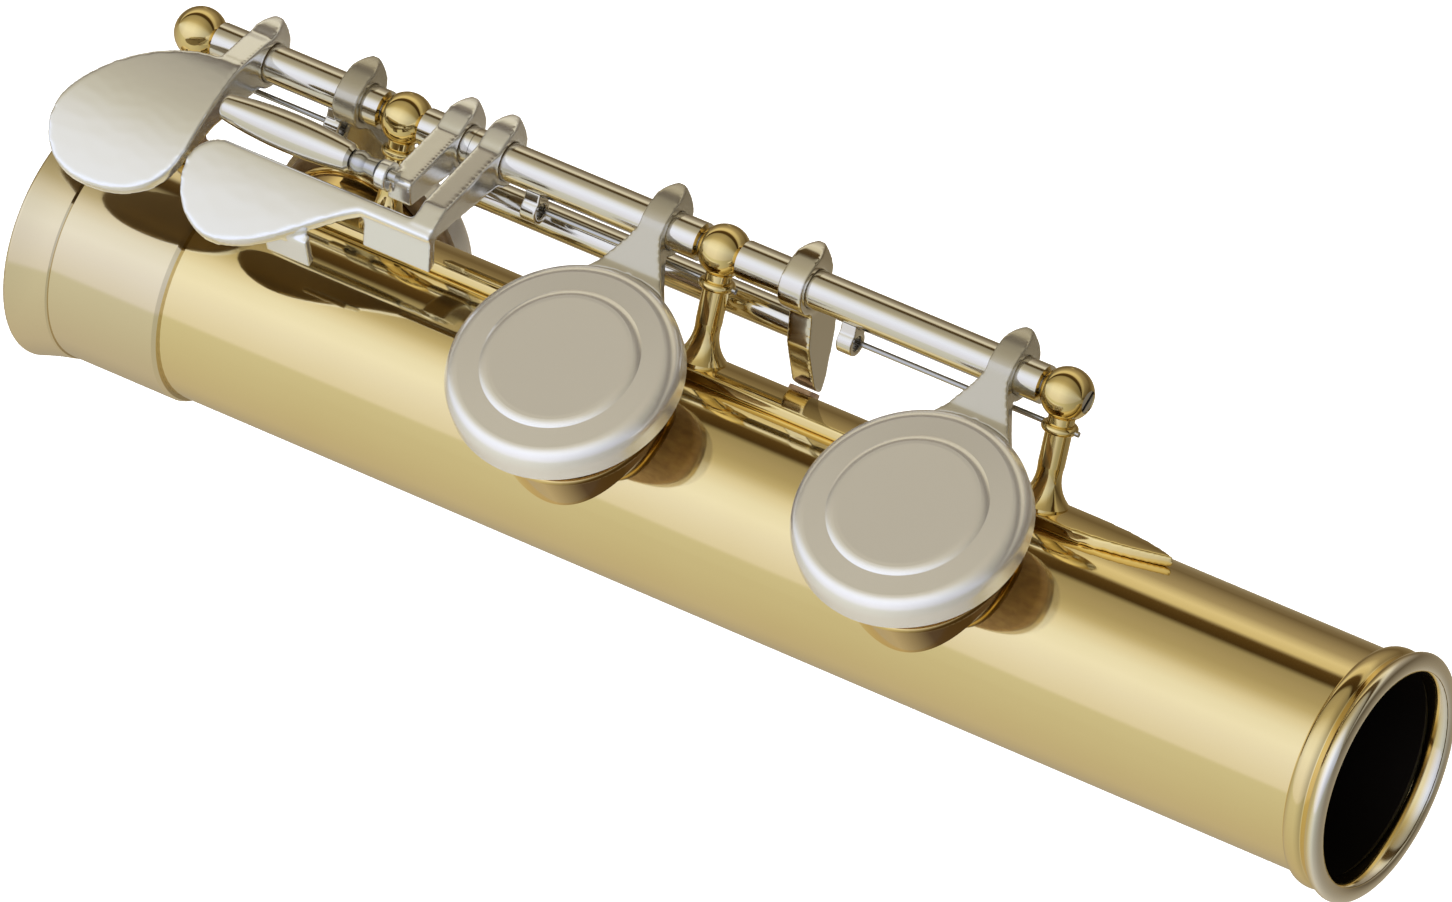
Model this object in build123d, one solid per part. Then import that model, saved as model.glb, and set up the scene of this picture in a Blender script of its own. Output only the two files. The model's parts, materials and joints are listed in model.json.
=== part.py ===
from build123d import *
import os
from math import atan2, cos, degrees, hypot, radians, sin

# A flute foot joint to low C.  Millimetres.  The origin is the centre of the socket mouth, +X runs
# along the tube to the open end, +Z is the side that the C sharp and C tone holes open to, and +Y is
# the side that carries the hinge rods.

# ---- tube
FOOT_LENGTH = 131.5       # socket mouth to open end
BORE_R = 9.5
TUBE_R = 9.9
SOCKET_R = 10.1           # inner radius of the socket that takes the tenon
SOCKET_DEPTH = 13.0
RECEIVER_R = 10.4
RECEIVER_LENGTH = 15.1
SOCKET_RING_R = 11.55
SOCKET_RING_LENGTH = 4.0
END_RING_LENGTH = 3.7
END_RING_R = 11.05

# ---- tone holes: place along the tube, direction from +Y towards +Z, outer radius of the wall
C_SHARP_X = 54.7
C_X = 89.3
D_SHARP_X = 21.6
TOP_ANGLE = 90.0
D_SHARP_ANGLE = -25.0
CHIMNEY_R = 8.0
D_SHARP_CHIMNEY_R = 7.4
CHIMNEY_WALL = 0.5
RIM_HEIGHT = 11.2         # rim above the tube axis
RIM_BEAD_R = 0.35
TONE_HOLES = {"d_sharp": (D_SHARP_X, D_SHARP_ANGLE, D_SHARP_CHIMNEY_R),
              "c_sharp": (C_SHARP_X, TOP_ANGLE, CHIMNEY_R),
              "c": (C_X, TOP_ANGLE, CHIMNEY_R)}

# ---- hinge line
HINGE_Y = 15.85
HINGE_Z = 13.3
HINGE_R = hypot(HINGE_Y, HINGE_Z)                   # distance of the hinge line from the tube axis
HINGE_ANGLE = degrees(atan2(HINGE_Z, HINGE_Y))
ROD_R = 1.0
RUNNING_GAP = 0.03
HINGE_TUBE_R = 1.7
END_PLAY = 0.05
POST_XS = (7.7, 28.9, 61.1, 95.2)
BALL_R = 2.3
NECK_DROP = 3.0           # ball centre down to the neck collar
POST_1_SEAT_R = 11.25     # top of the saddle under post 1
SADDLE_R = 2.6
SLOT_WIDTH = 0.4
SLOT_DEPTH = 0.5

# ---- rib that carries posts 2 to 4
RIB_START = 17.8
RIB_END = 108.2
RIB_TIP_LENGTH = 9.0
RIB_HALF_WIDTH = 2.45
RIB_R = 10.9

# ---- keys
OPEN_ANGLE = 8.5          # how far the C sharp and C keys stand open at rest
CUP_R = 10.15
D_SHARP_CUP_R = 9.3
PAD_DEPTH = 2.3
PAD_STANDOUT = 0.9        # how far the pad shows below the cup's edge
PAD_GAP = 0.02
CUP_HEIGHT = 2.8
SCREW_R = 0.8
WASHER_R = 3.2
WASHER_HEIGHT = 0.45
CUP_WALL = 0.5
ARM_WIDTH = 2.3
COLLAR_HALF = 1.2
COLLAR_R = 2.4
COLLAR_PEAK = 3.85        # the collar's point stands this far from the hinge line
PEAK_ANGLE = 17.0         # the collars' points face this way from +Y towards +Z
D_SHARP_TOUCH_X = 14.05
D_SHARP_CUP_ARM_X = 24.0
ROLLER_ARM_X = 34.1
C_SHARP_ARM_X = 38.3
C_SHARP_CUP_ARM_X = 55.1
FOOT_LEVER_X = 69.1
C_CUP_ARM_X = 89.7
TUBE_SPLIT_X = 36.1       # where the short C hinge tube meets the C sharp one
TOUCH_THICKNESS = 1.3
BAR_Y = 14.4
BAR_Z = 7.3
BAR_R = 1.4
ROLLER_Y = 8.95
ROLLER_Z = 18.95
ROLLER_START = 16.5
ROLLER_END = 29.65
ROLLER_R = 1.7
ROLLER_PIN_R = 0.5

# ---- springs
SPRING_R = 0.25
SPRING_RADIUS = HINGE_R - NECK_DROP                 # distance of the springs from the tube axis
HOOK_WIDTH = 1.5
D_SHARP_HOOK_X = 22.6
C_SHARP_HOOK_X = 42.8
C_HOOK_X = 74.6

# ---- bumpers
CORK_THICKNESS = 1.1
CORK_GAP = 0.1

BOTTOM = (Align.CENTER, Align.CENTER, Align.MIN)
PARTS = {}


# ------------------------------------------------------------------------------------------ helpers
def radial_frame(x, angle, toward_hinge=1):
    """Frame on the tube axis at x: +Z points out at the angle, +Y leans to the hinge side."""
    a = radians(angle)
    return Plane(origin=(x, 0, 0), x_dir=(toward_hinge, 0, 0), z_dir=(0, cos(a), sin(a)))


def rod_x(x0, x1, radius, y=0.0, z=0.0):
    """Solid round bar along X."""
    place = Plane(origin=(x0, y, z), x_dir=(0, 1, 0), z_dir=(1, 0, 0))
    return place * Cylinder(radius, x1 - x0, align=BOTTOM)


def pipe_x(x0, x1, outer, inner, y=0.0, z=0.0):
    """Pipe along X."""
    return rod_x(x0, x1, outer, y, z) - rod_x(x0 - 1, x1 + 1, inner, y, z)


def profile(start, *stretches):
    """Closed flat face: a stretch of one point is a straight line, and one of two points is an arc."""
    edges = []
    here = start
    for stretch in stretches:
        if isinstance(stretch[0], tuple):
            edges.append(ThreePointArc(here, *stretch))
            here = stretch[1]
        else:
            edges.append(Line(here, stretch))
            here = stretch
    if here != start:
        edges.append(Line(here, start))
    return make_face(edges)


def turned_x(face, y=0.0, z=0.0):
    """Solid of revolution about a line along X, from a face drawn as (x, radius)."""
    return Location((0, y, z)) * revolve(face, Axis.X)


def turned_z(face):
    """Solid of revolution about Z, from a face drawn as (radius, z)."""
    return Rotation(90, 0, 0) * revolve(face, Axis.Y)


def yz_slab(outline, x0, x1, rounding=0.0):
    """Slab between x0 and x1 with a closed outline of (y, z) points, its corners rounded."""
    face = make_face(Polyline(*outline, close=True))
    if rounding:
        face = fillet(face.vertices(), rounding)
    return Plane.YZ.offset(x0) * extrude(face, x1 - x0)


def plan_block(edge, z0, z1):
    """Upright block between z0 and z1 whose plan is the closed edge, drawn in X and Y."""
    return Location((0, 0, z0)) * extrude(make_face(edge), z1 - z0)


def about_hinge(shape, angle):
    """Shape turned about the hinge line by an angle in degrees."""
    return shape.rotate(Axis((0, HINGE_Y, HINGE_Z), (1, 0, 0)), angle)


def hinge_pipe(x0, x1):
    """Length of hinge tube that runs on a rod."""
    return pipe_x(x0, x1, HINGE_TUBE_R, ROD_R + RUNNING_GAP, HINGE_Y, HINGE_Z)


def hinge_seat(x):
    """Stretch of the hinge tube's outside that an arm at x is bored to."""
    return rod_x(x - 6, x + 6, HINGE_TUBE_R, HINGE_Y, HINGE_Z)


def collar(x):
    """End of an arm where it seats on its hinge tube: a teardrop whose outer point narrows."""
    a = radians(PEAK_ANGLE)
    place = Plane(origin=(x, HINGE_Y, HINGE_Z), x_dir=(1, 0, 0), z_dir=(0, cos(a), sin(a)))
    shoulder = (0.68 * COLLAR_R, 0.55 * COLLAR_PEAK)
    teardrop = profile((-COLLAR_R, 0), ((0, -COLLAR_R), (COLLAR_R, 0)), (shoulder, (0, COLLAR_PEAK)),
                       ((-shoulder[0], shoulder[1]), (-COLLAR_R, 0)))
    front = Plane.YZ.offset(-COLLAR_HALF) * extrude(teardrop, 2 * COLLAR_HALF)
    point = 0.3 * COLLAR_HALF
    bend = (0.85 * COLLAR_HALF, 0.75 * COLLAR_PEAK)
    base = 1.2 * COLLAR_PEAK
    taper = profile((-COLLAR_HALF, -base), (COLLAR_HALF, -base), (COLLAR_HALF, 0.3 * COLLAR_PEAK),
                    (bend, (point, COLLAR_PEAK)), (-point, COLLAR_PEAK),
                    ((-bend[0], bend[1]), (-COLLAR_HALF, 0.3 * COLLAR_PEAK)))
    side = Plane.XZ.offset(-base) * extrude(taper, 2 * base)
    return place * (front & side)


# ---------------------------------------------------------------------------------------- foot body
def tone_hole_plug(x, angle, radius):
    return radial_frame(x, angle) * Cylinder(radius, 20, align=BOTTOM)


def body_tube():
    tube = pipe_x(SOCKET_DEPTH, FOOT_LENGTH, TUBE_R, BORE_R)
    for x, angle, radius in TONE_HOLES.values():
        tube -= tone_hole_plug(x, angle, radius - CHIMNEY_WALL)
    return tube


def socket_receiver():
    """Sleeve over the tube's end, bored for the tenon and eased where it ends on the tube."""
    eased = 0.35
    sleeve = turned_x(profile((0, 0), (0, RECEIVER_R), (RECEIVER_LENGTH - eased, RECEIVER_R),
                              (RECEIVER_LENGTH, RECEIVER_R - 0.2), (RECEIVER_LENGTH, 0)))
    sleeve -= rod_x(-1, SOCKET_DEPTH, SOCKET_R) + rod_x(SOCKET_DEPTH - 0.5, RECEIVER_LENGTH + 1, TUBE_R)
    return sleeve - tone_hole_plug(*TONE_HOLES["d_sharp"])


def socket_ring():
    """Flared ring with a rounded mouth, thinner where it meets the sleeve."""
    end = SOCKET_RING_LENGTH
    small = RECEIVER_R + 0.2
    return turned_x(profile((0, RECEIVER_R), (0, SOCKET_RING_R - 0.4),
                            ((0.12, SOCKET_RING_R - 0.1), (0.4, SOCKET_RING_R)),
                            ((0.55 * end, 0.4 * SOCKET_RING_R + 0.6 * small), (end - 0.15, small)),
                            (end, small - 0.1), (end, RECEIVER_R)))


def end_ring():
    """Ring with a low rounded band, a fine groove and a flared lip."""
    start = FOOT_LENGTH - END_RING_LENGTH
    groove = start + 0.5 * END_RING_LENGTH
    low = TUBE_R + 0.2
    return turned_x(profile((start, TUBE_R), (start, low),
                            ((start + 0.9, low + 0.35), (groove, low + 0.15)),
                            ((groove + 0.4, low + 0.35), (groove + 0.7, END_RING_R - 0.35)),
                            ((FOOT_LENGTH - 0.5, END_RING_R), (FOOT_LENGTH, END_RING_R - 0.55)),
                            (FOOT_LENGTH, TUBE_R)))


def tone_chimney(x, angle, radius):
    """Tone-hole wall with a rolled rim, fitted to the tube."""
    wall = Cylinder(radius, RIM_HEIGHT - RIM_BEAD_R, align=BOTTOM)
    rim = Location((0, 0, RIM_HEIGHT - RIM_BEAD_R)) * Torus(radius, RIM_BEAD_R)
    body = radial_frame(x, angle) * (wall + rim) - rod_x(x - 12, x + 12, TUBE_R)
    return body - tone_hole_plug(x, angle, radius - CHIMNEY_WALL)


def rib_strip():
    """Long strip under the posts, its free end drawn to a point."""
    shell = pipe_x(RIB_START, RIB_END, RIB_R, TUBE_R)
    straight = RIB_END - RIB_TIP_LENGTH
    w = RIB_HALF_WIDTH
    bend = straight + 0.58 * RIB_TIP_LENGTH
    plan = profile((RIB_START, -w), (straight, -w), ((bend, -0.62 * w), (RIB_END, 0)),
                   ((bend, 0.62 * w), (straight, w)), (RIB_START, w))
    return shell & (radial_frame(0, HINGE_ANGLE) * extrude(Location((0, 0, 5)) * plan, 9))


def post_rib():
    """The strip, let in round the tone-hole walls that it passes."""
    strip = rib_strip()
    for hole in TONE_HOLES.values():
        strip -= tone_hole_plug(*hole)
    return strip


def post(x, seat_r):
    """Ball post: ball, neck bead and a stem that flares to its foot on a seat of radius seat_r."""
    neck = HINGE_R - NECK_DROP
    stem = 1.15
    foot = 2.2
    outline = profile((0, seat_r - 1), (foot, seat_r - 1), (foot, seat_r + 0.1),
                      ((stem + 0.3, seat_r + 1.2), (stem, seat_r + 3.4)), (stem, neck - 0.4),
                      ((stem + 0.45, neck), (stem, neck + 0.4)), (stem, HINGE_R), (0, HINGE_R))
    shape = turned_z(outline) + Location((0, 0, HINGE_R)) * Sphere(BALL_R)
    shape = radial_frame(x, HINGE_ANGLE) * shape
    shape -= rod_x(x - 6, x + 6, seat_r)
    shape -= rod_x(x - 6, x + 6, ROD_R, HINGE_Y, HINGE_Z)
    return shape - spring_hole(x)


def spring_hole(x):
    a = radians(HINGE_ANGLE)
    return rod_x(x - 6, x + 6, SPRING_R, SPRING_RADIUS * cos(a), SPRING_RADIUS * sin(a))


def post_saddle():
    """Small round plate that seats post 1 on the receiver."""
    x = POST_XS[0]
    plate = radial_frame(x, HINGE_ANGLE) * Cylinder(SADDLE_R, 14, align=BOTTOM)
    return plate & pipe_x(x - SADDLE_R, x + SADDLE_R, POST_1_SEAT_R, RECEIVER_R)


def hinge_rod(x0, x1, slot_x):
    """Steel hinge rod with a screwdriver slot in its end at slot_x."""
    rod = rod_x(x0, x1, ROD_R, HINGE_Y, HINGE_Z)
    slot = Location((slot_x, HINGE_Y, HINGE_Z)) * Box(2 * SLOT_DEPTH, 3, SLOT_WIDTH)
    return rod - slot


def needle_spring(x0, x1):
    a = radians(HINGE_ANGLE)
    return rod_x(min(x0, x1), max(x0, x1), SPRING_R, SPRING_RADIUS * cos(a), SPRING_RADIUS * sin(a))


# -------------------------------------------------------------------------------------- key pieces
def cup(radius):
    """Key cup about Z, its inside open downwards, its edge rounded, with a step round a flat centre."""
    low = RIM_HEIGHT + PAD_STANDOUT
    ceiling = RIM_HEIGHT + PAD_DEPTH
    top = low + CUP_HEIGHT
    step = 0.68 * radius
    centre = 0.58 * radius
    inner = radius - CUP_WALL
    return turned_z(profile((0, ceiling), (inner, ceiling), (inner, low), (radius, low), (radius, top - 1.5),
                            ((radius - 0.38, top - 0.5), (radius - 1.4, top)), (step, top + 0.1),
                            ((step - 0.4, top + 0.28), (step - 0.7, top + 0.34)),
                            (centre, top + 0.36), (0, top + 0.36)))


def pad(radius):
    """Pad with a shallow recess round its washer."""
    low = RIM_HEIGHT + PAD_GAP
    high = RIM_HEIGHT + PAD_DEPTH
    outer = radius - CUP_WALL - PAD_GAP
    disc = turned_z(profile((0, low), (outer - 0.5, low), ((outer - 0.15, low + 0.15), (outer, low + 0.5)),
                            (outer, high), (0, high)))
    return disc - Location((0, 0, low - 0.5)) * Cylinder(SCREW_R, PAD_DEPTH + 1, align=BOTTOM)


def pad_washer():
    top = RIM_HEIGHT + PAD_GAP
    return turned_z(profile((SCREW_R, top), (WASHER_R, top), (WASHER_R, top - 0.15),
                            (WASHER_R - 0.6, top - WASHER_HEIGHT), (SCREW_R, top - WASHER_HEIGHT)))


def pad_screw():
    seat = RIM_HEIGHT + PAD_GAP - WASHER_HEIGHT
    head = 1.4
    screw = turned_z(profile((0, seat - 0.5), (head - 0.3, seat - 0.5), (head, seat - 0.2), (head, seat),
                             (SCREW_R, seat), (SCREW_R, RIM_HEIGHT + PAD_DEPTH), (0, RIM_HEIGHT + PAD_DEPTH)))
    return screw - Location((0, 0, seat - 0.5)) * Box(2 * head + 1, SLOT_WIDTH, 0.5)


def cup_arm_web(hinge_y, hinge_z, radius, lean=0.0):
    """Arm from the hinge that spreads to meet a cup's side, in the cup's own frame."""
    shoulder = RIM_HEIGHT + PAD_STANDOUT + CUP_HEIGHT - 1.2
    side = [(hinge_y - 0.5, hinge_z + 2.3), (radius + 0.6, shoulder + 0.1), (radius - 2.5, shoulder - 0.3),
            (radius - 2.5, shoulder - 1.6), (hinge_y - 1.45, hinge_z - 1.1)]
    slab = yz_slab(side, -9, 9)
    foot_y, foot_x = radius - 2.3, 0.54 * radius
    neck_y, neck_x = hinge_y - 0.6, 1.05
    mid_y = foot_y + 0.55 * (hinge_y - foot_y)
    left = Spline((-foot_x, foot_y), (lean - 2.1, mid_y), (lean - neck_x, neck_y),
                  tangents=((1.0, 0.75), (0, 1)))
    right = Spline((lean + neck_x, neck_y), (lean + 2.1, mid_y), (foot_x, foot_y),
                   tangents=((0, -1), (1.0, -0.75)))
    edge = Wire([left, Line((lean - neck_x, neck_y), (lean + neck_x, neck_y)), right,
                 Line((foot_x, foot_y), (-foot_x, foot_y))])
    return (slab & plan_block(edge, 5, 20)) - Cylinder(radius, 40)


def touch_sheet(y_back):
    """Curved sheet, wide along X, that the finger plates are cut from."""
    top = [(-3.5, 17.6), (2.0, 18.4), (7.0, 18.7), (10.3, 18.4), (13.6, 17.6)]
    low = [(y, z - TOUCH_THICKNESS) for y, z in top]
    edge = Wire([Spline(*top), Line(top[-1], low[-1]), Spline(*reversed(low)), Line(low[0], top[0])])
    sheet = Plane.YZ.offset(-2) * extrude(make_face(edge), 44)
    return sheet & Location((18, y_back - 15, 18)) * Box(60, 30, 12)


def lever(x0, x1, outline, rounding=0.35):
    """Arm between x0 and x1 with a collar on the hinge line, bored for the hinge tube."""
    middle = 0.5 * (x0 + x1)
    return yz_slab(outline, x0, x1, rounding) + collar(middle) - hinge_seat(middle)


TOUCH_LEVER = [(18.1, 14.5), (8.9, 18.55), (7.7, 16.5), (13.9, 12.6), (16.5, 12.2)]


# ------------------------------------------------------------------------------------- D sharp key
def d_sharp_touch():
    arm_outline = [(18.1, 14.8), (16.4, 16.0), (13.6, 17.5), (10.3, 18.3), (7.0, 18.6), (4.0, 18.4),
                   (4.0, 17.3), (7.6, 16.3), (13.9, 12.6), (16.5, 12.2)]
    half = ARM_WIDTH / 2
    right = D_SHARP_TOUCH_X + half - 0.1        # the plate ends just inside the arm's side
    arm = lever(D_SHARP_TOUCH_X - half, D_SHARP_TOUCH_X + half, arm_outline, 0.2)
    curve = Spline((13.6, 13.2), (8.7, 12.0), (4.4, 8.5), (2.0, 3.2), (4.2, -0.6), (8.6, -1.6), (12.9, -0.2),
                   (right, 4.5))
    edge = Wire([curve, Line((right, 4.5), (right, 13.2)), Line((right, 13.2), (13.6, 13.2))])
    return arm + (touch_sheet(14) & plan_block(edge, 10, 25)) - hinge_seat(D_SHARP_TOUCH_X)


def d_sharp_cup_place():
    return radial_frame(D_SHARP_X, D_SHARP_ANGLE, -1)


def d_sharp_hinge_in_cup_frame():
    """Hinge line's place in the D sharp cup's own frame."""
    a = radians(D_SHARP_ANGLE)
    return HINGE_Z * cos(a) - HINGE_Y * sin(a), HINGE_Y * cos(a) + HINGE_Z * sin(a)


def d_sharp_cup_arm():
    y, z = d_sharp_hinge_in_cup_frame()
    web = d_sharp_cup_place() * cup_arm_web(y, z, D_SHARP_CUP_R, D_SHARP_X - D_SHARP_CUP_ARM_X)
    return web + collar(D_SHARP_CUP_ARM_X) - hinge_seat(D_SHARP_CUP_ARM_X)


# ------------------------------------------------------------------------------------- C sharp key
def c_sharp_touch():
    half = ARM_WIDTH / 2
    arm_outline = [(18.1, 14.5), (8.0, 18.7), (5.6, 18.75), (5.6, 17.4), (7.7, 16.4), (13.9, 12.6),
                   (16.5, 12.2)]
    arm = lever(C_SHARP_ARM_X - half, C_SHARP_ARM_X + half, arm_outline)
    back = 6.38
    end = C_SHARP_ARM_X + half
    front = (32.4, 5.0)
    curve = Spline((17.9, back), (15.8, 4.6), (16.2, 1.3), (20.0, -1.8), (24.8, -0.6), (28.6, 2.2),
                   front)
    edge = Wire([curve, Line(front, (end, front[1])), Line((end, front[1]), (end, back)),
                 Line((end, back), (17.9, back))])
    plate = touch_sheet(8) & plan_block(edge, 10, 25)
    web = yz_slab([(5.4, 18.6), (6.3, 18.6), (4.3, 15.3), (3.3, 15.5)], 32.6, end)
    return arm + plate + web


def c_sharp_touch_tab():
    """Small tab that hangs from the C sharp finger plate's outer edge."""
    outline = [(1.9, 17.2), (1.0, 17.1), (0.1, 14.4), (1.0, 14.3)]
    return yz_slab(outline, 24.4, 28.8)


def c_sharp_place():
    return radial_frame(C_SHARP_CUP_ARM_X, TOP_ANGLE)


# ------------------------------------------------------------------------------------------- C key
def c_roller_lever():
    half = ARM_WIDTH / 2
    arm = lever(ROLLER_ARM_X - half, ROLLER_ARM_X + half, TOUCH_LEVER)
    drop = yz_slab([(17.0, 12.6), (16.0, 7.2), (14.4, 5.9), (13.0, 7.0), (14.9, 12.0)],
                   ROLLER_ARM_X - half, ROLLER_ARM_X + half, 0.3)
    boss = rod_x(ROLLER_END + 2.6, ROLLER_ARM_X - half + 0.4, 1.3, ROLLER_Y, ROLLER_Z - 0.45)
    return arm + drop + boss - hinge_seat(ROLLER_ARM_X) - roller_pin_solid()


def roller_pin_solid():
    """Fixed pin the roller turns on, with a collar beside its arm."""
    x0 = ROLLER_START + 0.9
    pin = rod_x(x0, ROLLER_ARM_X, ROLLER_PIN_R, ROLLER_Y, ROLLER_Z)
    x1 = ROLLER_END + 0.1
    neck = profile((x1, 0), (x1, 0.85), ((x1 + 0.7, 1.05), (x1 + 1.4, 0.8)), (x1 + 2.5, 0.95), (x1 + 2.5, 0))
    return pin + turned_x(neck, ROLLER_Y, ROLLER_Z)


def c_roller():
    """Barrel roller, closed at its free end, bored for its pin."""
    start, end = ROLLER_START, ROLLER_END
    fattest = 0.45 * start + 0.55 * end
    shape = profile((start, 0), (start, 0.8), ((start + 0.12, 1.05), (start + 0.4, 1.2)),
                    ((fattest, ROLLER_R), (end - 0.3, 1.25)), (end, 1.0), (end, 0))
    barrel = turned_x(shape, ROLLER_Y, ROLLER_Z)
    bore = rod_x(ROLLER_START + 0.8, ROLLER_END + 1, ROLLER_PIN_R + RUNNING_GAP, ROLLER_Y, ROLLER_Z)
    return barrel - bore


def c_bridge_bar():
    half = ARM_WIDTH / 2
    return rod_x(ROLLER_ARM_X + half, FOOT_LEVER_X - half, BAR_R, BAR_Y, BAR_Z)


def c_foot_lever():
    half = ARM_WIDTH / 2
    outline = [(18.1, 13.9), (17.2, 8.6), (15.3, 6.2), (12.2, 3.4), (10.9, 2.6), (10.6, 4.2),
               (12.1, 8.6), (14.0, 11.2), (14.9, 15.2), (16.9, 15.6)]
    return lever(FOOT_LEVER_X - half, FOOT_LEVER_X + half, outline) - foot_cork_room()


def foot_cork_room():
    """Space between the tube and the lever's foot that the cork fills."""
    return rod_x(FOOT_LEVER_X - 3, FOOT_LEVER_X + 3, TUBE_R + CORK_GAP + CORK_THICKNESS)


def c_foot_cork():
    """Cork under the lever's foot, just clear of the tube at rest."""
    half = ARM_WIDTH / 2 - 0.1
    shell = pipe_x(FOOT_LEVER_X - half, FOOT_LEVER_X + half, TUBE_R + CORK_GAP + CORK_THICKNESS,
                   TUBE_R + CORK_GAP)
    block = yz_slab([(9.0, 1.9), (12.3, 3.0), (12.0, 4.6), (8.8, 4.0)], FOOT_LEVER_X - half,
                    FOOT_LEVER_X + half)
    return shell & block


def spring_hook(x):
    """Eyed lug under a hinge tube, round below, that a needle spring presses on."""
    side, middle = -0.28, SPRING_RADIUS
    eye = Rot(0, 90, 0) * Cylinder(0.68, 4)
    bow = Rot(0, 90, 0) * Cylinder(1.15, HOOK_WIDTH)
    stalk = Location((0, 0, 0.5 * (HINGE_R - middle))) * Box(HOOK_WIDTH, 1.7, HINGE_R - middle)
    lug = Location((0, side, middle)) * (bow + stalk - eye)
    return radial_frame(x, HINGE_ANGLE) * lug - hinge_seat(x)


def d_sharp_arm_cork():
    """Round cork glued under the D sharp touch's arm."""
    disc = Cylinder(ARM_WIDTH / 2 - 0.1, CORK_THICKNESS, align=BOTTOM)
    return Location((D_SHARP_TOUCH_X, 6.0, 15.9)) * disc - PARTS["d_sharp_touch"]


# ------------------------------------------------------------------------------------------- build
def build_foot_body():
    ball_face = 2.0
    PARTS["body_tube"] = body_tube()
    PARTS["socket_receiver"] = socket_receiver()
    PARTS["socket_ring"] = socket_ring()
    PARTS["end_ring"] = end_ring()
    PARTS["post_rib"] = post_rib()
    for name, hole in TONE_HOLES.items():
        PARTS[f"tone_chimney_{name}"] = tone_chimney(*hole)
    PARTS["post_1"] = post(POST_XS[0], POST_1_SEAT_R)
    PARTS["post_1_saddle"] = post_saddle()
    for number, x in enumerate(POST_XS[1:], start=2):
        PARTS[f"post_{number}"] = post(x, RIB_R)
    p1, p2, p3, p4 = POST_XS
    PARTS["hinge_rod_d_sharp"] = hinge_rod(p1 - ball_face, p2 - 0.2, p1 - ball_face)
    PARTS["hinge_rod_middle"] = hinge_rod(p2 + 0.2, p3 - 0.2, p2 + 0.2)
    PARTS["hinge_rod_c"] = hinge_rod(p3 + 0.2, p4 + ball_face, p4 + ball_face)
    PARTS["spring_d_sharp"] = needle_spring(p1 - 1.9, D_SHARP_HOOK_X + 0.9)
    PARTS["spring_c_sharp"] = needle_spring(p3 + 1.9, C_SHARP_HOOK_X - 0.9)
    PARTS["spring_c"] = needle_spring(p4 + 1.9, C_HOOK_X - 0.9)


def add_cup(name, place, radius, turn):
    """Cup, pad, washer and screw of one key, in the cup's frame, turned about the hinge."""
    pieces = {"cup": cup(radius), "pad": pad(radius), "pad_washer": pad_washer(), "pad_screw": pad_screw()}
    for piece, shape in pieces.items():
        PARTS[f"{name}_{piece}"] = about_hinge(place * shape, turn)


def build_d_sharp_key():
    p1, p2 = POST_XS[:2]
    clear = ball_clear()
    PARTS["d_sharp_hinge_tube"] = hinge_pipe(p1 + clear, p2 - clear)
    PARTS["d_sharp_touch"] = d_sharp_touch()
    PARTS["d_sharp_cup_arm"] = d_sharp_cup_arm()
    add_cup("d_sharp", d_sharp_cup_place(), D_SHARP_CUP_R, 0)
    PARTS["d_sharp_spring_hook"] = spring_hook(D_SHARP_HOOK_X) - PARTS["d_sharp_cup_arm"]
    PARTS["d_sharp_arm_cork"] = d_sharp_arm_cork()


def ball_clear():
    """Distance from a ball's centre to a hinge tube's square end, clear of the ball."""
    return (BALL_R ** 2 - (ROD_R + RUNNING_GAP) ** 2) ** 0.5 + END_PLAY


def build_c_sharp_key():
    p3 = POST_XS[2]
    PARTS["c_sharp_hinge_tube"] = hinge_pipe(TUBE_SPLIT_X + END_PLAY, p3 - ball_clear())
    PARTS["c_sharp_touch"] = c_sharp_touch()
    PARTS["c_sharp_touch_tab"] = c_sharp_touch_tab() - PARTS["c_sharp_touch"]
    web = about_hinge(c_sharp_place() * cup_arm_web(HINGE_Y, HINGE_Z, CUP_R), -OPEN_ANGLE)
    PARTS["c_sharp_cup_arm"] = web + collar(C_SHARP_CUP_ARM_X) - hinge_seat(C_SHARP_CUP_ARM_X)
    add_cup("c_sharp", c_sharp_place(), CUP_R, -OPEN_ANGLE)
    PARTS["c_sharp_spring_hook"] = spring_hook(C_SHARP_HOOK_X)


def build_c_key():
    p2, p3, p4 = POST_XS[1:]
    PARTS["c_short_hinge_tube"] = hinge_pipe(p2 + ball_clear(), TUBE_SPLIT_X)
    PARTS["c_roller_lever"] = c_roller_lever()
    PARTS["c_roller_pin"] = roller_pin_solid()
    PARTS["c_bridge_bar"] = c_bridge_bar()
    PARTS["c_foot_lever"] = c_foot_lever()
    PARTS["c_foot_cork"] = c_foot_cork()
    PARTS["c_hinge_tube"] = hinge_pipe(p3 + ball_clear(), p4 - ball_clear())
    place = radial_frame(C_CUP_ARM_X, TOP_ANGLE)
    web = about_hinge(place * cup_arm_web(HINGE_Y, HINGE_Z, CUP_R), -OPEN_ANGLE)
    PARTS["c_cup_arm"] = web + collar(C_CUP_ARM_X) - hinge_seat(C_CUP_ARM_X)
    add_cup("c", place, CUP_R, -OPEN_ANGLE)
    PARTS["c_spring_hook"] = spring_hook(C_HOOK_X)
    PARTS["c_roller"] = c_roller()


def write_parts():
    os.makedirs("parts", exist_ok=True)
    for name, shape in PARTS.items():
        export_step(shape, f"parts/{name}.step")


build_foot_body()
build_d_sharp_key()
build_c_sharp_key()
build_c_key()
write_parts()
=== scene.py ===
import bpy
import bmesh
import json
import math
from mathutils import Matrix, Vector


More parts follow.
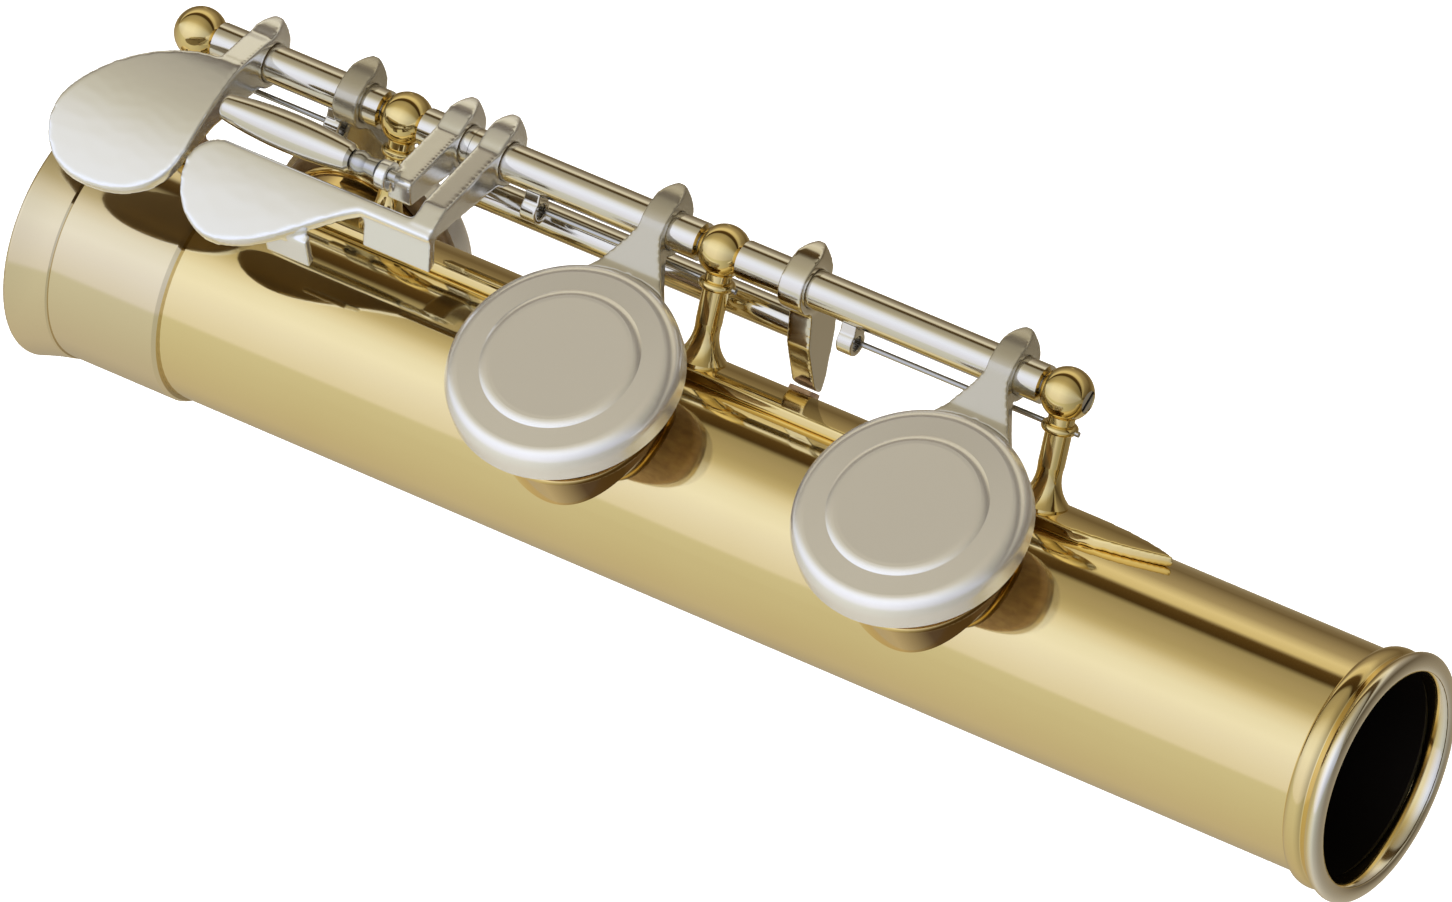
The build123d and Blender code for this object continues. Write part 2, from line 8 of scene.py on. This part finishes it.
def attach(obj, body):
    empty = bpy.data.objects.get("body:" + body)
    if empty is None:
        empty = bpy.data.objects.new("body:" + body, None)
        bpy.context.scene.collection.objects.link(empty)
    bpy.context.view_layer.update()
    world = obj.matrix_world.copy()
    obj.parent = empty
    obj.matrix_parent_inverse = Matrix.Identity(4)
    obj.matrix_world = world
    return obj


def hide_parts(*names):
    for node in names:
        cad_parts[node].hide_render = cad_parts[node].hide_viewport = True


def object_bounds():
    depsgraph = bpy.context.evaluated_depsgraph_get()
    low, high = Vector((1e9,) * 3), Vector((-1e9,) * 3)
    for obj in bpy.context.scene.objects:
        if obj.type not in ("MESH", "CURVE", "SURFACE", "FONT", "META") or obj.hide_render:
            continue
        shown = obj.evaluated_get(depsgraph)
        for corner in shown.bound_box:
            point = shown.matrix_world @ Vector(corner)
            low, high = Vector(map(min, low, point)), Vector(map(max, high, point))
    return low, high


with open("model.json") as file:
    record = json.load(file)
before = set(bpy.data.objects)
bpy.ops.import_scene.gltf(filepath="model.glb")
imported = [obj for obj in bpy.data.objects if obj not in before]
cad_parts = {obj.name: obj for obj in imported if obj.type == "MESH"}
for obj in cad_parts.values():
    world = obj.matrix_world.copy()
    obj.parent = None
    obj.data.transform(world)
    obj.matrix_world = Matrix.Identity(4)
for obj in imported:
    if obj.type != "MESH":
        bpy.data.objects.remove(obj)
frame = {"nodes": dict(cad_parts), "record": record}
cad_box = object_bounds()
MM = 0.001
KEYS = ("d_sharp", "c_sharp", "c")

# ---- camera: a long lens, looking down on the keys
AIM = Vector((64.5, 3.6, 1.1)) * MM
TO_CAMERA = Vector((0.4384, -0.2628, 0.8595)).normalized()
RIGHT = Vector((0.8280, 0.4902, -0.2724))
DISTANCE = 1.5
VIEW_WIDTH = 0.1212
SENSOR = 36.0

# ---- surfaces
BORE_EDGE = 9.7 * MM      # radius inside which the tube's metal is its bore
LIT_LIP = 1.8 * MM        # how far into the open end the bore still shines
BORE_FADE = 0.4 * MM
LIP_HIGHLIGHT_HEIGHT = 0.75 * MM  # how much of the lip carries the painted highlight
LIP_HIGHLIGHT_FADE = 0.5 * MM
TINT_SLOPE = 2.5          # how fast the painted darkening sets in as a face turns
WELD = 0.001 * MM         # CAD vertices closer than this are one
# The open end's ring in mm: distance from the end along the tube, then radius; inside first, then outside.
LIP_OUTLINE = ((-1.85, 9.46), (-1.7, 9.02), (-1.5, 9.02), (-0.7, 9.2), (-0.1, 9.42), (0.15, 9.7),
               (0.22, 10.1), (0.12, 10.6), (-0.15, 10.95), (-0.5, 11.05), (-0.9, 10.9), (-1.35, 10.55),
               (-1.6, 10.42), (-1.75, 10.3), (-1.85, 10.42), (-2.2, 10.62), (-2.8, 10.66), (-3.4, 10.45),
               (-3.65, 10.0), (-3.7, 9.9), (-1.9, 9.85))
LIP_STEPS = 96

# ---- studio
FLOOR_DROP = 0.045        # below the lowest point of the object
FLOOR_SIZE = 6.0
BACKDROP_RADIUS = 4.0


# ------------------------------------------------------------------------------- node helpers
class Nodes:
    """Short forms for building one material's or world's node tree."""

    def __init__(self, tree, keep=False):
        self.tree = tree
        if not keep:
            tree.nodes.clear()

    def add(self, kind, **values):
        node = self.tree.nodes.new(kind)
        for key, value in values.items():
            setattr(node, key, value)
        return node

    def link(self, source, target):
        self.tree.links.new(source, target)

    def math(self, operation, a, b=None, c=None, clamp=False):
        node = self.add("ShaderNodeMath", operation=operation, use_clamp=clamp)
        for socket, value in zip(node.inputs, (a, b, c)):
            if value is None:
                continue
            if isinstance(value, (int, float)):
                socket.default_value = value
            else:
                self.link(value, socket)
        return node.outputs[0]

    def ramp(self, factor, stops, interpolation="LINEAR"):
        node = self.add("ShaderNodeValToRGB")
        ramp = node.color_ramp
        ramp.interpolation = interpolation
        while len(ramp.elements) < len(stops):
            ramp.elements.new(0.5)
        for element, (position, colour) in zip(ramp.elements, stops):
            element.position = position
            element.color = (*colour, 1) if len(colour) == 3 else colour
        self.link(factor, node.inputs[0])
        return node.outputs[0]

    def noise(self, vector, scale, detail=3.0, roughness=0.55, distortion=0.0):
        node = self.add("ShaderNodeTexNoise")
        node.inputs["Scale"].default_value = scale
        node.inputs["Detail"].default_value = detail
        node.inputs["Roughness"].default_value = roughness
        node.inputs["Distortion"].default_value = distortion
        self.link(vector, node.inputs["Vector"])
        return node.outputs[0]

    def stretched(self, scale):
        """Object coordinates scaled per axis, for grain and scratches."""
        place = self.add("ShaderNodeTexCoord")
        mapping = self.add("ShaderNodeMapping")
        mapping.inputs["Scale"].default_value = scale
        self.link(place.outputs["Object"], mapping.inputs["Vector"])
        return mapping.outputs["Vector"]

    def mix(self, factor, a, b):
        node = self.add("ShaderNodeMix", data_type="RGBA")
        for socket, value in ((node.inputs[0], factor), (node.inputs[6], a), (node.inputs[7], b)):
            if isinstance(value, (int, float)):
                socket.default_value = value
            elif isinstance(value, tuple):
                socket.default_value = (*value, 1)
            else:
                self.link(value, socket)
        return node.outputs[2]

    def parts(self, output):
        """X, Y and Z of the object's own coordinates ("Object") or surface direction ("Normal")."""
        place = self.add("ShaderNodeTexCoord")
        split = self.add("ShaderNodeSeparateXYZ")
        self.link(place.outputs[output], split.inputs[0])
        return split.outputs


def grey(level):
    return (level, level, level)


# ------------------------------------------------------------------------------------ camera
def make_camera():
    data = bpy.data.cameras.new("camera")
    camera = bpy.data.objects.new("camera", data)
    bpy.context.scene.collection.objects.link(camera)
    right = (RIGHT - TO_CAMERA * RIGHT.dot(TO_CAMERA)).normalized()
    up = TO_CAMERA.cross(right)
    turn = Matrix((right, up, TO_CAMERA)).transposed().to_4x4()
    camera.matrix_world = Matrix.Translation(AIM + TO_CAMERA * DISTANCE) @ turn
    data.sensor_width = SENSOR
    data.lens = SENSOR * DISTANCE / VIEW_WIDTH
    data.clip_start = 0.01
    data.clip_end = 20
    bpy.context.scene.camera = camera


# ------------------------------------------------------------------------------------ studio
# The studio's colour round the tube's axis: degrees from +Y over +Z, then the colour there.
STUDIO_BAND = ((0, (0.42, 0.36, 0.26)), (14, (0.80, 0.73, 0.55)), (24, (0.72, 0.64, 0.44)),
               (29, (0.10, 0.06, 0.02)), (41, (0.06, 0.035, 0.012)), (46, (0.36, 0.32, 0.22)),
               (56, (0.42, 0.37, 0.26)), (66, (0.46, 0.41, 0.28)), (76, (0.58, 0.53, 0.39)),
               (88, (0.82, 0.81, 0.78)), (100, (0.93, 0.97, 1.06)), (114, (0.98, 1.03, 1.18)),
               (130, (0.91, 0.94, 1.08)), (155, (0.82, 0.82, 0.86)), (158, (0.69, 0.69, 0.60)),
               (190, (0.64, 0.62, 0.52)), (235, (0.58, 0.53, 0.43)), (290, (0.36, 0.30, 0.20)),
               (330, (0.16, 0.12, 0.07)), (360, (0.42, 0.36, 0.26)))
# How bright it is towards the socket end (0), square to the tube (0.5) and towards the open end (1).
STUDIO_ENDS = ((0.0, 0.80), (0.15, 1.0), (0.45, 1.0), (0.65, 0.85), (0.85, 0.62), (1.0, 0.45))


def make_world():
    """Studio surround: bright banks overhead and in front, a dark slot behind, dim below."""
    world = bpy.data.worlds.new("studio")
    bpy.context.scene.world = world
    world.use_nodes = True
    n = Nodes(world.node_tree)
    place = n.add("ShaderNodeTexCoord")
    split = n.add("ShaderNodeSeparateXYZ")
    n.link(place.outputs["Generated"], split.inputs[0])
    angle = n.math("ARCTAN2", split.outputs["Z"], split.outputs["Y"])
    turn = n.math("WRAP", n.math("DIVIDE", angle, 2 * math.pi), 1.0, 0.0)
    band = n.ramp(turn, [(degrees / 360, colour) for degrees, colour in STUDIO_BAND])
    along = n.math("MULTIPLY_ADD", split.outputs["X"], 0.5, 0.5)
    ends = n.ramp(along, [(place, grey(level)) for place, level in STUDIO_ENDS])
    both = n.add("ShaderNodeMix", data_type="RGBA", blend_type="MULTIPLY")
    both.inputs[0].default_value = 1.0
    n.link(band, both.inputs[6])
    n.link(ends, both.inputs[7])
    background = n.add("ShaderNodeBackground")
    n.link(both.outputs[2], background.inputs["Color"])
    output = n.add("ShaderNodeOutputWorld")
    n.link(background.outputs[0], output.inputs[0])


def add_area(name, position, size, energy, colour=(1, 1, 1), glossy=False):
    data = bpy.data.lights.new(name, "AREA")
    data.shape = "DISK"
    data.size = size
    data.energy = energy
    data.color = colour
    light = bpy.data.objects.new(name, data)
    bpy.context.scene.collection.objects.link(light)
    light.location = position
    light.rotation_euler = (AIM - Vector(position)).to_track_quat("-Z", "Y").to_euler()
    light.visible_glossy = glossy
    light.visible_camera = False


def make_floor():
    low = cad_box[0][2]
    bpy.ops.mesh.primitive_plane_add(size=FLOOR_SIZE, location=(AIM.x, AIM.y, low - FLOOR_DROP))
    floor = bpy.context.object
    floor.name = "studio_floor"
    material = bpy.data.materials.new("floor_paper")
    material.use_nodes = True
    n = Nodes(material.node_tree)
    shader = n.add("ShaderNodeBsdfPrincipled")
    shader.inputs["Base Color"].default_value = (0.93, 0.93, 0.93, 1)
    shader.inputs["Roughness"].default_value = 0.9
    shader.inputs["Emission Color"].default_value = (1, 1, 1, 1)
    shader.inputs["Emission Strength"].default_value = 0.75
    output = n.add("ShaderNodeOutputMaterial")
    n.link(shader.outputs[0], output.inputs[0])
    floor.data.materials.append(material)
    floor.visible_glossy = False


def make_backdrop():
    """White paper all round, so that a level view doesn't look past the floor's edge."""
    bpy.ops.mesh.primitive_uv_sphere_add(segments=48, ring_count=24, radius=BACKDROP_RADIUS, location=AIM)
    backdrop = bpy.context.object
    backdrop.name = "studio_backdrop"
    backdrop.data.shade_smooth()
    material = bpy.data.materials.new("backdrop_paper")
    material.use_nodes = True
    n = Nodes(material.node_tree)
    glow = n.add("ShaderNodeEmission")
    output = n.add("ShaderNodeOutputMaterial")
    n.link(glow.outputs[0], output.inputs[0])
    backdrop.data.materials.append(material)
    backdrop.visible_diffuse = False
    backdrop.visible_glossy = False
    backdrop.visible_transmission = False
    backdrop.visible_shadow = False


def make_studio():
    bpy.context.scene.view_settings.view_transform = "Standard"
    make_world()
    make_floor()
    make_backdrop()
    add_area("overhead", (0.0, -0.3, 1.6), 1.2, 14.0)
    add_area("front_fill", (0.3, -1.2, 0.9), 0.9, 5.0)


# --------------------------------------------------------------------------------- materials
def metal(name, light, dark, rough_low, rough_high, grain=(1, 1, 1), grain_size=900, bump=0.02, metallic=1.0):
    """Polished metal: slow colour drift, hazy handling marks and fine directional scratches."""
    material = bpy.data.materials.new(name)
    material.use_nodes = True
    n = Nodes(material.node_tree)
    even = n.stretched((1, 1, 1))
    drift = n.noise(even, 60, 2.0, 0.5)
    haze = n.noise(even, 260, 4.0, 0.62, 0.4)
    lines = n.noise(n.stretched(grain), grain_size, 5.0, 0.7)
    shader = n.add("ShaderNodeBsdfPrincipled")
    shader.inputs["Metallic"].default_value = metallic
    n.link(n.ramp(drift, [(0.3, dark), (0.7, light)]), shader.inputs["Base Color"])
    marks = n.math("MULTIPLY_ADD", lines, 0.35, n.math("MULTIPLY", haze, 0.65))
    rough = n.ramp(marks, [(0.35, grey(rough_low)), (0.65, grey(rough_high))])
    n.link(rough, shader.inputs["Roughness"])
    relief = n.add("ShaderNodeBump")
    relief.inputs["Strength"].default_value = bump
    relief.inputs["Distance"].default_value = 0.00002
    n.link(lines, relief.inputs["Height"])
    n.link(relief.outputs[0], shader.inputs["Normal"])
    output = n.add("ShaderNodeOutputMaterial")
    n.link(shader.outputs[0], output.inputs[0])
    return material


def soft(name, stops, rough, size, bump, depth=0.00005, sheen=0.0):
    """Cork, felt or skin: mottled colour with a matching relief."""
    material = bpy.data.materials.new(name)
    material.use_nodes = True
    n = Nodes(material.node_tree)
    even = n.stretched((1, 1, 1))
    mottle = n.noise(even, size, 5.0, 0.65, 0.3)
    shader = n.add("ShaderNodeBsdfPrincipled")
    n.link(n.ramp(mottle, stops), shader.inputs["Base Color"])
    n.link(n.ramp(mottle, [(0.3, grey(rough)), (0.7, grey(rough * 0.8))]), shader.inputs["Roughness"])
    shader.inputs["Sheen Weight"].default_value = sheen
    relief = n.add("ShaderNodeBump")
    relief.inputs["Strength"].default_value = bump
    relief.inputs["Distance"].default_value = depth
    n.link(mottle, relief.inputs["Height"])
    n.link(relief.outputs[0], shader.inputs["Normal"])
    output = n.add("ShaderNodeOutputMaterial")
    n.link(shader.outputs[0], output.inputs[0])
    return material


def over(material, factor_of, colour, roughness):
    """Lays a second colour and roughness over a material where factor_of(nodes, object place) is 1."""
    n = Nodes(material.node_tree, keep=True)
    shader = next(node for node in n.tree.nodes if node.type == "BSDF_PRINCIPLED")
    factor = factor_of(n)
    for socket, value in (("Base Color", colour), ("Roughness", grey(roughness))):
        before = shader.inputs[socket].links[0].from_socket
        n.link(n.mix(factor, before, value), shader.inputs[socket])


def painted_bore_shade(n):
    """1 on the tube's inside, past the part of the lip that catches the light, where the bore is painted
    near-black as painted shade.
    """
    x, y, z = n.parts("Object")
    squares = n.math("ADD", n.math("POWER", y, 2.0), n.math("POWER", z, 2.0))
    inside = n.math("LESS_THAN", squares, BORE_EDGE ** 2)
    depth = n.math("SUBTRACT", cad_box[1][0] - LIT_LIP, x)
    deep = n.math("DIVIDE", depth, BORE_FADE, clamp=True)
    return n.math("MULTIPLY", inside, deep)


def lip_painted_highlight(n):
    """1 on the rolled edge of the open end, where a near-white painted highlight lies over the ring's colour.
    """
    height = n.math("SUBTRACT", n.parts("Object")["X"], cad_box[1][0] - LIP_HIGHLIGHT_HEIGHT)
    return n.math("DIVIDE", height, LIP_HIGHLIGHT_FADE, clamp=True)


def painted_reflection_side(n):
    """1 on faces turned to the open end, which are darkened as a painted dark reflection, not a known finish.
    """
    return n.math("MULTIPLY", n.math("SUBTRACT", n.parts("Normal")["X"], 0.15), TINT_SLOPE, clamp=True)


def painted_underside_shade(n):
    """1 on faces that look down, which are darkened as painted shade, not a known finish."""
    return n.math("MULTIPLY", n.math("SUBTRACT", -0.15, n.parts("Normal")["Z"]), TINT_SLOPE, clamp=True)


def make_materials():
    gold = {"grain": (0.08, 1, 1), "grain_size": 1400, "bump": 0.008}
    materials = {
        "gold_lacquer": metal("gold_lacquer", (0.88, 0.71, 0.34), (0.85, 0.68, 0.31), 0.04, 0.08, **gold),
        "gold_tube": metal("gold_tube", (0.89, 0.74, 0.40), (0.87, 0.715, 0.375), 0.05, 0.09, **gold),
        "pale_gold": metal("pale_gold", (0.83, 0.72, 0.49), (0.80, 0.69, 0.46), 0.06, 0.10, **gold),
        "lip_gold": metal("lip_gold", (0.87, 0.71, 0.37), (0.84, 0.68, 0.34), 0.05, 0.09, **gold),
        "deep_gold": metal("deep_gold", (0.86, 0.66, 0.30), (0.83, 0.63, 0.27), 0.04, 0.07, **gold),
        "silver_plate": metal("silver_plate", (0.90, 0.90, 0.89), (0.88, 0.88, 0.87), 0.15, 0.20,
                              grain=(0.15, 1, 1), grain_size=1600, bump=0.008, metallic=0.9),
        "cup_silver": metal("cup_silver", (0.88, 0.86, 0.825), (0.865, 0.845, 0.81), 0.22, 0.26,
                            grain=(1, 1, 1), grain_size=1600, bump=0.006, metallic=0.82),
        "nickel_silver": metal("nickel_silver", (0.84, 0.81, 0.75), (0.80, 0.77, 0.70), 0.08, 0.14,
                               grain=(0.1, 1, 1), grain_size=1800, bump=0.02),
        "arm_silver": metal("arm_silver", (0.56, 0.525, 0.44), (0.54, 0.505, 0.42), 0.20, 0.25,
                            grain=(0.1, 1, 1), grain_size=1800, bump=0.008, metallic=0.85),
        "steel": metal("steel", (0.62, 0.62, 0.62), (0.50, 0.50, 0.51), 0.16, 0.28,
                       grain=(0.08, 1, 1), grain_size=2400, bump=0.04),
        # Painted shade: the pads' colour is darkened to deep brown, for pads that sit shadowed under the
        # cups.
        "pad_skin": soft("pad_skin", [(0.3, (0.20, 0.12, 0.05)), (0.7, (0.32, 0.21, 0.10))], 0.55, 900, 0.25,
                         sheen=0.1),
        "cork": soft("cork", [(0.25, (0.10, 0.055, 0.03)), (0.45, (0.30, 0.18, 0.09)),
                              (0.75, (0.42, 0.28, 0.15))], 0.85, 1500, 0.6),
    }
    # Painted shade: the tube's bore past the lit lip is painted near-black.
    over(materials["gold_tube"], painted_bore_shade, (0.03, 0.024, 0.02), 0.6)
    # Painted dark reflection: the chimneys' faces turned to the open end are painted dark brown.
    over(materials["deep_gold"], painted_reflection_side, (0.13, 0.065, 0.012), 0.06)
    # Painted highlight: near-white colour on the lip's rolled edge.
    over(materials["lip_gold"], lip_painted_highlight, (0.98, 0.95, 0.88), 0.12)
    # Painted shade: the keys' and levers' downward faces are painted dark.
    over(materials["silver_plate"], painted_underside_shade, (0.24, 0.19, 0.12), 0.3)
    over(materials["nickel_silver"], painted_underside_shade, (0.30, 0.27, 0.21), 0.25)
    return materials


def dress_cad_nodes(materials, looks):
    """Gives each CAD node its slot's material, or the finer one that looks names."""
    for name, node in frame["nodes"].items():
        node.data.materials.clear()
        node.data.materials.append(materials[looks.get(name, slot_of[name])])


# ------------------------------------------------------------------------------- cast pieces
def welded_mesh(names):
    """The named CAD nodes' surfaces as one new mesh with shared vertices."""
    merged = bmesh.new()
    for name in names:
        node = frame["nodes"][name]
        part = node.data.copy()
        part.transform(node.matrix_world)
        merged.from_mesh(part)
        bpy.data.meshes.remove(part)
    bmesh.ops.remove_doubles(merged, verts=merged.verts, dist=WELD)
    mesh = bpy.data.meshes.new(names[0] + "_welded")
    merged.to_mesh(mesh)
    merged.free()
    return mesh


def cast_piece(names, material, voxel, passes):
    """A polished casting with softly rounded edges, in place of the named CAD nodes."""
    piece = bpy.data.objects.new("cast_" + names[0], welded_mesh(names))
    bpy.context.scene.collection.objects.link(piece)
    remesh = piece.modifiers.new("remesh", "REMESH")
    remesh.mode = "VOXEL"
    remesh.voxel_size = voxel
    relax = piece.modifiers.new("relax", "SMOOTH")
    relax.factor = 0.5
    relax.iterations = passes
    rounded = bpy.data.meshes.new_from_object(piece.evaluated_get(bpy.context.evaluated_depsgraph_get()))
    piece.modifiers.clear()
    piece.data = rounded
    rounded.shade_smooth()
    rounded.materials.clear()
    rounded.materials.append(material)
    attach(piece, body_of[names[0]])
    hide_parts(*names)
    return piece


def turned_lip(material):
    """The open end's ring, its lip rolled over the tube's edge and flared inside."""
    end = cad_box[1][0] / MM
    outline = [(end + x, r) for x, r in LIP_OUTLINE]
    lip = bmesh.new()
    rings = [[lip.verts.new((x * MM, r * math.cos(a) * MM, r * math.sin(a) * MM)) for x, r in outline]
             for a in (math.tau * step / LIP_STEPS for step in range(LIP_STEPS))]
    for here, there in zip(rings, rings[1:] + rings[:1]):
        for corners in zip(here, here[1:] + here[:1], there[1:] + there[:1], there):
            lip.faces.new(corners)
    bmesh.ops.recalc_face_normals(lip, faces=lip.faces)
    mesh = bpy.data.meshes.new("turned_end_ring")
    lip.to_mesh(mesh)
    lip.free()
    piece = bpy.data.objects.new("turned_end_ring", mesh)
    bpy.context.scene.collection.objects.link(piece)
    rounded = piece.modifiers.new("round", "SUBSURF")
    rounded.levels = 2
    rounded.render_levels = 2
    mesh.shade_smooth()
    mesh.materials.append(material)
    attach(piece, "foot_body")
    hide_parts("end_ring")


def make_castings(materials):
    silver, nickel = materials["silver_plate"], materials["nickel_silver"]
    cast_piece(["d_sharp_touch"], silver, 0.18 * MM, 6)
    cast_piece(["c_sharp_touch", "c_sharp_touch_tab"], silver, 0.18 * MM, 6)
    cast_piece(["c_roller_lever"], silver, 0.16 * MM, 5)
    cast_piece(["c_foot_lever"], nickel, 0.16 * MM, 5)
    cast_piece(["post_rib"], materials["gold_lacquer"], 0.16 * MM, 12)
    for key in KEYS:
        cast_piece([key + "_cup_arm"], materials["arm_silver"], 0.13 * MM, 9)
        cast_piece([key + "_spring_hook"], nickel, 0.08 * MM, 4)


record = frame["record"]
slot_of = {part["node"]: part["material_slot"] for part in record["subparts"]}
body_of = {node: body for body, nodes in record["behaviour"]["bodies"].items() for node in nodes}
looks = {"body_tube": "gold_tube", "socket_receiver": "pale_gold", "socket_ring": "pale_gold",
         "c_roller": "nickel_silver"}
for key in KEYS:
    looks["tone_chimney_" + key] = "deep_gold"
    looks[key + "_cup"] = "cup_silver"

make_camera()
make_studio()
materials = make_materials()
dress_cad_nodes(materials, looks)
make_castings(materials)
turned_lip(materials["lip_gold"])
